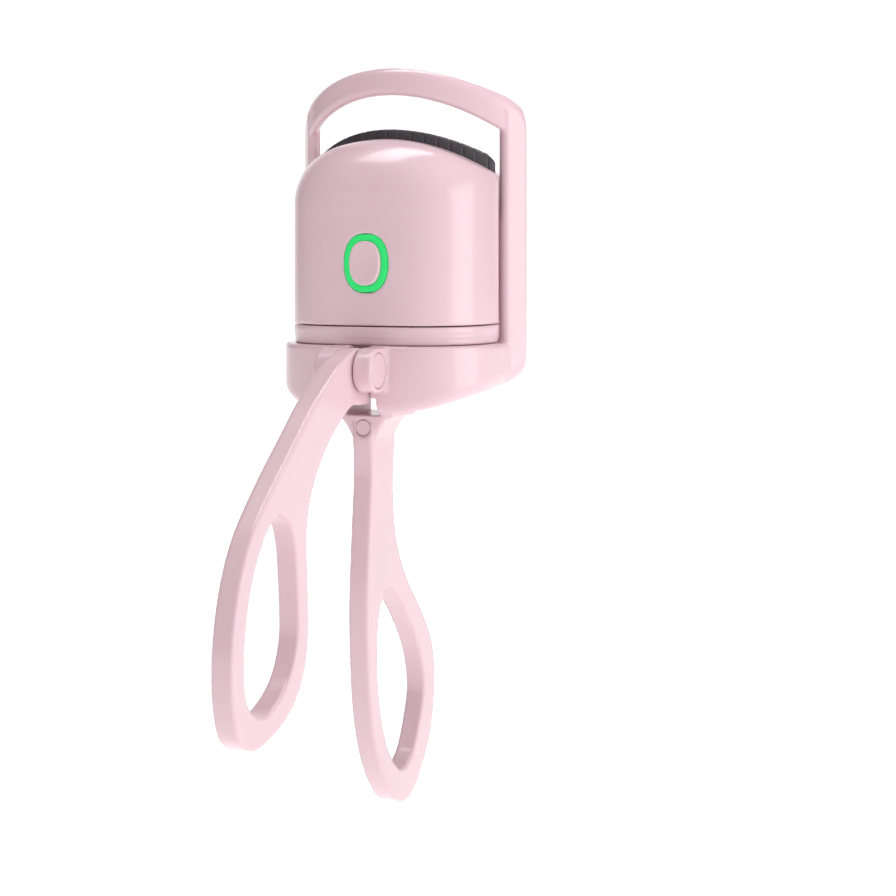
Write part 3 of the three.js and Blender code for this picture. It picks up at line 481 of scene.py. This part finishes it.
# ---- Moving handle ----------------------------------------------------------------------------
MOVING_OUTLINE = smooth_loop([
    (-22.9, 71.4), (-26.4, 70.6), (-29.7, 69.3), (-33.6, 67.1), (-37.8, 64.5), (-42.9, 60.5), (-49, 55.7),
    (-54.1, 51.3), (-58.3, 46.8), (-61.3, 41.1), (-62.9, 35.1), (-63.3, 30.4), (-62.8, 25.6),
    (-61, 21.4), (-57, 19.4), (-51.6, 20.1), (-46, 22.3), (-42.5, 25.7), (-40.7, 30), (-40.4, 36),
    (-40.8, 43), (-40.6, 48.2), (-39, 52.2), (-36, 56.1), (-32.2, 59.4), (-28.5, 61.7), (-25.4, 63.0),
    (-22.6, 62.9), (-19.8, 63.0), (-18.7, 65.2), (-19.1, 68.4), (-20.8, 70.7),
], 5)
MOVING_HOLE = smooth_loop([
    (-49.6, 49.9), (-52.9, 48.2), (-55.6, 45.1), (-58, 40.5), (-59.5, 34.7), (-59.8, 29.4),
    (-58.5, 25.5), (-54.4, 23.4), (-50.2, 24.4), (-46.1, 27.1), (-43.8, 31.4), (-43.6, 36),
    (-44, 40.6), (-44.7, 45.2), (-46.4, 48.6),
])


def moving_handle_field(x, y, z):
    """The front handle, its knuckle and the arm that lifts the head."""
    solid = handle_plate(x, y, z, MOVING_OUTLINE, MOVING_HOLE)
    along = (y - PIVOT_Y) * math.cos(arm_drop) - (z - PIVOT_Z) * math.sin(arm_drop)
    across = (y - PIVOT_Y) * math.sin(arm_drop) + (z - PIVOT_Z) * math.cos(arm_drop)
    reach = np.hypot(along - np.clip(along, 1, ARM), across)
    thick = ARM_HALF + 0.6 * np.clip(1 - along / ARM, 0, 1)
    arm = round_max(reach - thick, np.abs(x) - HANDLE_HALF, 0.4)
    solid = round_min(solid, arm, 0.8)
    axle = np.hypot(y - PIVOT_Y, z - PIVOT_Z)
    solid = cut_out(solid, axle - PIN_R - RUNNING, 0.12)
    solid = cut_out(solid, np.maximum(axle - COIL_POCKET_R, COIL_POCKET_X - x), 0.1)
    notch = np.maximum(between(y, PIVOT_Y, PIVOT_Y + 3.0), np.abs(z - PIVOT_Z - COIL_R) - 0.35)
    solid = cut_out(solid, np.maximum(notch, COIL_POCKET_X - x), 0.1)
    return cut_out(solid, np.hypot(y - lift_y, z - lift_z) - LIFT_PIN_R - 0.05, 0.1)


moulded("front_handle_moulding", moving_handle_field, (-1.7, -63.5, 19.2), (1.7, -8.6, 71.6), 0.3, pink,
        "front_handle", "pink_gloss", "moving_handle")


# ---- Head shells -------------------------------------------------------------------------------
def posts(x, z, radius):
    """Round columns from front to back at the four screws."""
    return any_of(*(np.hypot(np.abs(x) - SCREW_X, z - height) - radius for height in SCREW_ZS))


def comb_column(x, y, z, radius):
    """A round column on the comb's plan circle, from the shelf up."""
    return np.maximum(np.hypot(x, y - ring_y) - radius, SHELF - z)


def front_shell_field(x, y, z):
    outer = dome(x, y, z, HEAD_HALF, HEAD_DEPTH, 14, HEAD_TOP)
    inner = dome(x, y, z, HEAD_HALF - SHELL, HEAD_DEPTH - SHELL, 14, HEAD_TOP - SHELL)
    limits = round_max(SEAM - z, y - HEAD_SPLIT, 0.2)
    solid = np.maximum(outer, -inner)
    pillar = np.maximum(np.maximum(posts(x, z, POST_R), -17 - y), outer)
    solid = np.maximum(round_min(solid, pillar, 0.3), outer)
    solid = round_max(solid, limits, 0.28)
    solid = cut_out(solid, np.maximum(posts(x, z, SCREW_R + RUNNING), -14 - y), 0.1)
    solid = cut_out(solid, np.maximum(oval(x, z, RING_HALF_W + 0.12, RING_HALF_H + 0.12), y + 16), 0.12)
    return cut_out(solid, comb_column(x, y, z, COMB_R + 0.25), 0.3)


moulded("front_shell_moulding", front_shell_field, (-16.2, -18.8, 74.4), (16.2, -2.9, 102.8), 0.26, pink,
        "heating_head", "pink_gloss", "front_shell")


def rear_shell_field(x, y, z):
    outer = dome(x, y, z, REAR_HALF, HEAD_DEPTH, REAR_BACK, REAR_TOP)
    inner = dome(x, y, z, REAR_HALF - SHELL, HEAD_DEPTH + 1, REAR_BACK - SHELL, REAR_TOP - SHELL)
    ahead = np.maximum(HEAD_SPLIT + GAP - y, z - SHELF - 1)
    region = np.minimum(ahead, comb_column(x, y, z, COMB_R - COMB_THICK - GAP))
    solid = round_max(round_max(outer, -inner, 0.2), region, 0.25)
    hook = between(y, FLANGE_FRONT, REAR_BACK - 0.4)
    hook = round_max(hook, round_max(np.abs(x) - FLANGE_HALF, z - 94, 1.5), 0.4)
    hook = np.maximum(hook, REAR_HALF - 3 - np.abs(x))
    solid = round_min(solid, hook, 0.3)
    pillar = np.maximum(posts(x, z, POST_R), between(y, HEAD_SPLIT + GAP, REAR_BACK - 0.2))
    solid = round_min(solid, pillar, 0.3)
    solid = round_max(solid, SEAM - z, 0.28)
    solid = cut_out(solid, posts(x, z, SCREW_R + RUNNING), 0.1)
    solid = cut_out(solid, np.maximum(posts(x, z, SCREW_HEAD_R + 0.15), REAR_BACK - 1.5 - y), 0.15)
    socket = rounded_box(x, z - USB_Z, USB_WIDTH / 2 + 0.25, USB_HEIGHT / 2 + 0.25, 1.6)
    return cut_out(solid, socket, 0.2)


moulded("rear_shell_moulding", rear_shell_field, (-17.5, -6.8, 74.4), (17.5, 5.3, 102.8), 0.28, pink,
        "heating_head", "pink_gloss", "rear_shell")


def band_field(x, y, z):
    # two shallow steps run round the band
    rib = 0.07 * np.clip((73.45 - z) / 0.1, 0, 1) + 0.07 * np.clip((72.65 - z) / 0.1, 0, 1)
    side = squared_ellipse(x, y, HEAD_HALF, HEAD_DEPTH) + rib
    front = np.maximum(side, y - HEAD_SPLIT)
    back = np.maximum(np.abs(x) - REAR_HALF, between(y, -6, REAR_BACK))
    body = round_max(np.minimum(front, back), between(z, BAND_BOTTOM, BAND_TOP), 0.2)
    well = all_of(side + SHELL, y - REAR_BACK + SHELL, np.abs(x) - REAR_HALF + SHELL, BAND_BOTTOM + 1.2 - z)
    body = cut_out(body, well, 0.2)
    ear = rounded_box(y - lift_y - 0.15, z - 68.3, 2.25, 4.7, 1.5)
    ear = np.maximum(ear, between(np.abs(x), EAR_IN, EAR_OUT))
    solid = round_min(body, ear, 0.25)
    slot = rounded_box(y - lift_y - 0.12, z - lift_z, 1.03, 0.9, 0.88)
    return cut_out(solid, slot, 0.12)


moulded("ribbed_band_moulding", band_field, (-16.2, -18.8, 63.5), (16.2, 5.3, 74.3), 0.24, pink,
        "heating_head", "pink_gloss", "bottom_cap")


# ---- Comb, light ring, button and small caps -----------------------------------------------------
COMB_PITCH = 2.0


def comb_field(x, y, z):
    radial = np.hypot(x, y - ring_y) - (COMB_R - COMB_THICK / 2)
    angle = np.arctan2(x, ring_y - y)
    along = np.abs(angle) * COMB_R - COMB_HALF_ANGLE * COMB_R
    top = np.hypot(x, z - (COMB_TOP - COMB_ARCH)) - COMB_ARCH
    bottom = COMB_ARCH - np.hypot(x, z - (COMB_TOP - COMB_HEIGHT - COMB_ARCH))
    strip = round_max(np.abs(radial) - COMB_THICK / 2, np.maximum(top, bottom), 0.45)
    strip = round_max(strip, along, 0.8)
    phase = (angle * COMB_R) / COMB_PITCH
    groove = np.abs(phase - np.round(phase)) * COMB_PITCH
    depth = np.maximum(0.16 - groove, 0) * 1.1
    return strip + depth + np.where(y > ring_y, FAR, 0.0)


moulded("comb_teeth", comb_field, (-15.9, -9.7, 94.0), (15.9, 0.8, 104.7), 0.15, comb_black,
        "heating_head", "comb_dark", "comb")


def light_ring_field(x, y, z):
    outside = oval(x, z, RING_HALF_W, RING_HALF_H)
    inside = oval(x, z, RING_HALF_W - RING_BAND, RING_HALF_H - RING_BAND)
    return round_max(np.maximum(outside, -inside), between(y, -18.75, -16.9), 0.18)


moulded("light_ring_guide", light_ring_field, (-3.2, -18.9, 79.4), (4.2, -16.8, 88.4), 0.11, light_green,
        "heating_head", "light_green", "light_ring")


def button_field(x, y, z):
    cap = oval(x, z, RING_HALF_W - RING_BAND - 0.06, RING_HALF_H - RING_BAND - 0.06)
    dish = 0.10 * np.clip(1 - ((x - BUTTON_X) / 2.4) ** 2 - ((z - BUTTON_Z) / 3.4) ** 2, 0, 1)
    cap = round_max(cap, np.maximum(-19.3 + dish - y, y + 16.9), 0.3)
    stem = np.maximum(np.hypot(x - BUTTON_X, z - BUTTON_Z) - 1.0, between(y, -17.5, -15.9))
    return round_min(cap, stem, 0.2)


moulded("power_button_cap", button_field, (-2.3, -19.5, 80), (3.2, -15.8, 87.8), 0.12, pink,
        "button", "pink_gloss", "power_button")


def end_cap_field(x, y, z):
    disc = np.hypot(y - PIVOT_Y, z - PIVOT_Z) - CAP_R
    return round_max(disc, between(x, -CHEEK_OUT + 0.1, -CHEEK_OUT + CAP_THICK), 0.18)


moulded("pivot_cap_disc", end_cap_field, (-4.7, -25.6, 65.4), (-3.9, -20.2, 70.8), 0.12, pink, "frame",
        "pink_gloss", "pivot_cap")


def pin_field(x, y, z):
    axle = np.hypot(y - PIVOT_Y, z - PIVOT_Z)
    head = round_max(axle - CAP_R, between(x, CHEEK_OUT - CAP_THICK, CHEEK_OUT - 0.1), 0.18)
    shaft = round_max(axle - PIN_R, between(x, -3.8, 4.2), 0.2)
    return round_min(head, shaft, 0.1)


moulded("pivot_pin_headed", pin_field, (-3.9, -25.6, 65.4), (4.7, -20.2, 70.8), 0.13, pink, "frame",
        "pink_gloss", "pivot_pin")


def neck_plug_field(x, y, z):
    disc = np.hypot(x, z - PLUG_Z) - PLUG_R
    return round_max(disc, between(y, -18.5, -17.3), 0.1)


moulded("neck_plug_disc", neck_plug_field, (-1.3, -18.6, 57.8), (1.3, -17.2, 60.4), 0.09, pink, "frame",
        "pink_gloss", "neck_plug")


# ---- Stage, light and camera ----------------------------------------------------------------------
def area_light(name, radiance, size, at, towards, spread):
    """A soft box of the given brightness, wherever it stands."""
    data = bpy.data.lights.new(name, "AREA")
    data.shape = "RECTANGLE"
    data.size, data.size_y = size
    data.spread = math.radians(spread)
    data.energy = radiance * math.pi * size[0] * size[1]
    lamp = bpy.data.objects.new(name, data)
    lamp.location = at
    lamp.rotation_euler = (Vector(towards) - Vector(at)).to_track_quat("-Z", "Y").to_euler()
    bpy.context.scene.collection.objects.link(lamp)
    return lamp


HEAD_CENTRE = (0.0, -0.002, 0.062)
area_light("side_box", 0.74, (0.27, 0.26), (0.34, 0.045, 0.115), HEAD_CENTRE, 110)
area_light("top_box", 2.4, (0.40, 0.15), (-0.07, 0.03, 0.48), HEAD_CENTRE, 120)


def studio_world():
    """White backdrop behind the object, soft light from the right, dimmer from the left front."""
    world = bpy.data.worlds.new("studio")
    world.use_nodes = True
    tree = world.node_tree
    place = tree.nodes.new("ShaderNodeTexCoord")

    def towards(axis, *steps):
        dot = tree.nodes.new("ShaderNodeVectorMath")
        dot.operation = "DOT_PRODUCT"
        dot.inputs[1].default_value = axis
        tree.links.new(place.outputs["Generated"], dot.inputs[0])
        curve = tree.nodes.new("ShaderNodeMapRange")
        for socket, value in zip(("From Min", "From Max", "To Min", "To Max"), steps):
            curve.inputs[socket].default_value = value
        tree.links.new(dot.outputs["Value"], curve.inputs["Value"])
        return curve.outputs["Result"]

    fill = towards((0.72, -0.45, 0.53), -0.15, 1.0, 0.0, 1.0)
    backdrop = towards((-0.37, 0.93, 0.0), 0.62, 0.95, 0.0, 1.12)
    brighter = tree.nodes.new("ShaderNodeMath")
    brighter.operation = "MAXIMUM"
    tree.links.new(fill, brighter.inputs[0])
    tree.links.new(backdrop, brighter.inputs[1])
    tree.links.new(brighter.outputs["Value"], tree.nodes["Background"].inputs["Strength"])
    tree.nodes["Background"].inputs["Color"].default_value = (1, 1, 1, 1)
    return world


bpy.context.scene.world = studio_world()

floor_mesh = bpy.data.meshes.new("floor")
FLOOR = ((-6, -6), (6, -6), (6, 6), (-6, 6))
floor_mesh.from_pydata([(x, y, -0.16) for x, y in FLOOR], [], [(0, 1, 2, 3)])
floor = bpy.data.objects.new("floor", floor_mesh)
bpy.context.scene.collection.objects.link(floor)
floor_material = new_material("floor_white", (0.85, 0.85, 0.85), 0.9, Emission_Strength=0.66)
floor_material.node_tree.nodes["Principled BSDF"].inputs["Emission Color"].default_value = (1, 1, 1, 1)
floor_mesh.materials.append(floor_material)

AZIMUTH, DISTANCE, FOCAL_PX, EYE_Z, SIDE = math.radians(22), 330.0, 2079.0, 88.0, 5.88
camera_data = bpy.data.cameras.new("camera")
camera_data.sensor_width = 36
camera_data.lens = FOCAL_PX / 896 * 36
camera_data.shift_y = -(448 - 236) / 896
camera_data.clip_start = 0.01
camera = bpy.data.objects.new("camera", camera_data)
eye = np.array([
    DISTANCE * math.sin(AZIMUTH) + SIDE * math.cos(AZIMUTH),
    -DISTANCE * math.cos(AZIMUTH) + SIDE * math.sin(AZIMUTH),
    EYE_Z,
])
camera.location = (eye - ORIGIN) * 0.001
camera.rotation_euler = (math.pi / 2, 0, AZIMUTH)
bpy.context.scene.collection.objects.link(camera)
bpy.context.scene.camera = camera
bpy.context.scene.view_settings.view_transform = "Standard"
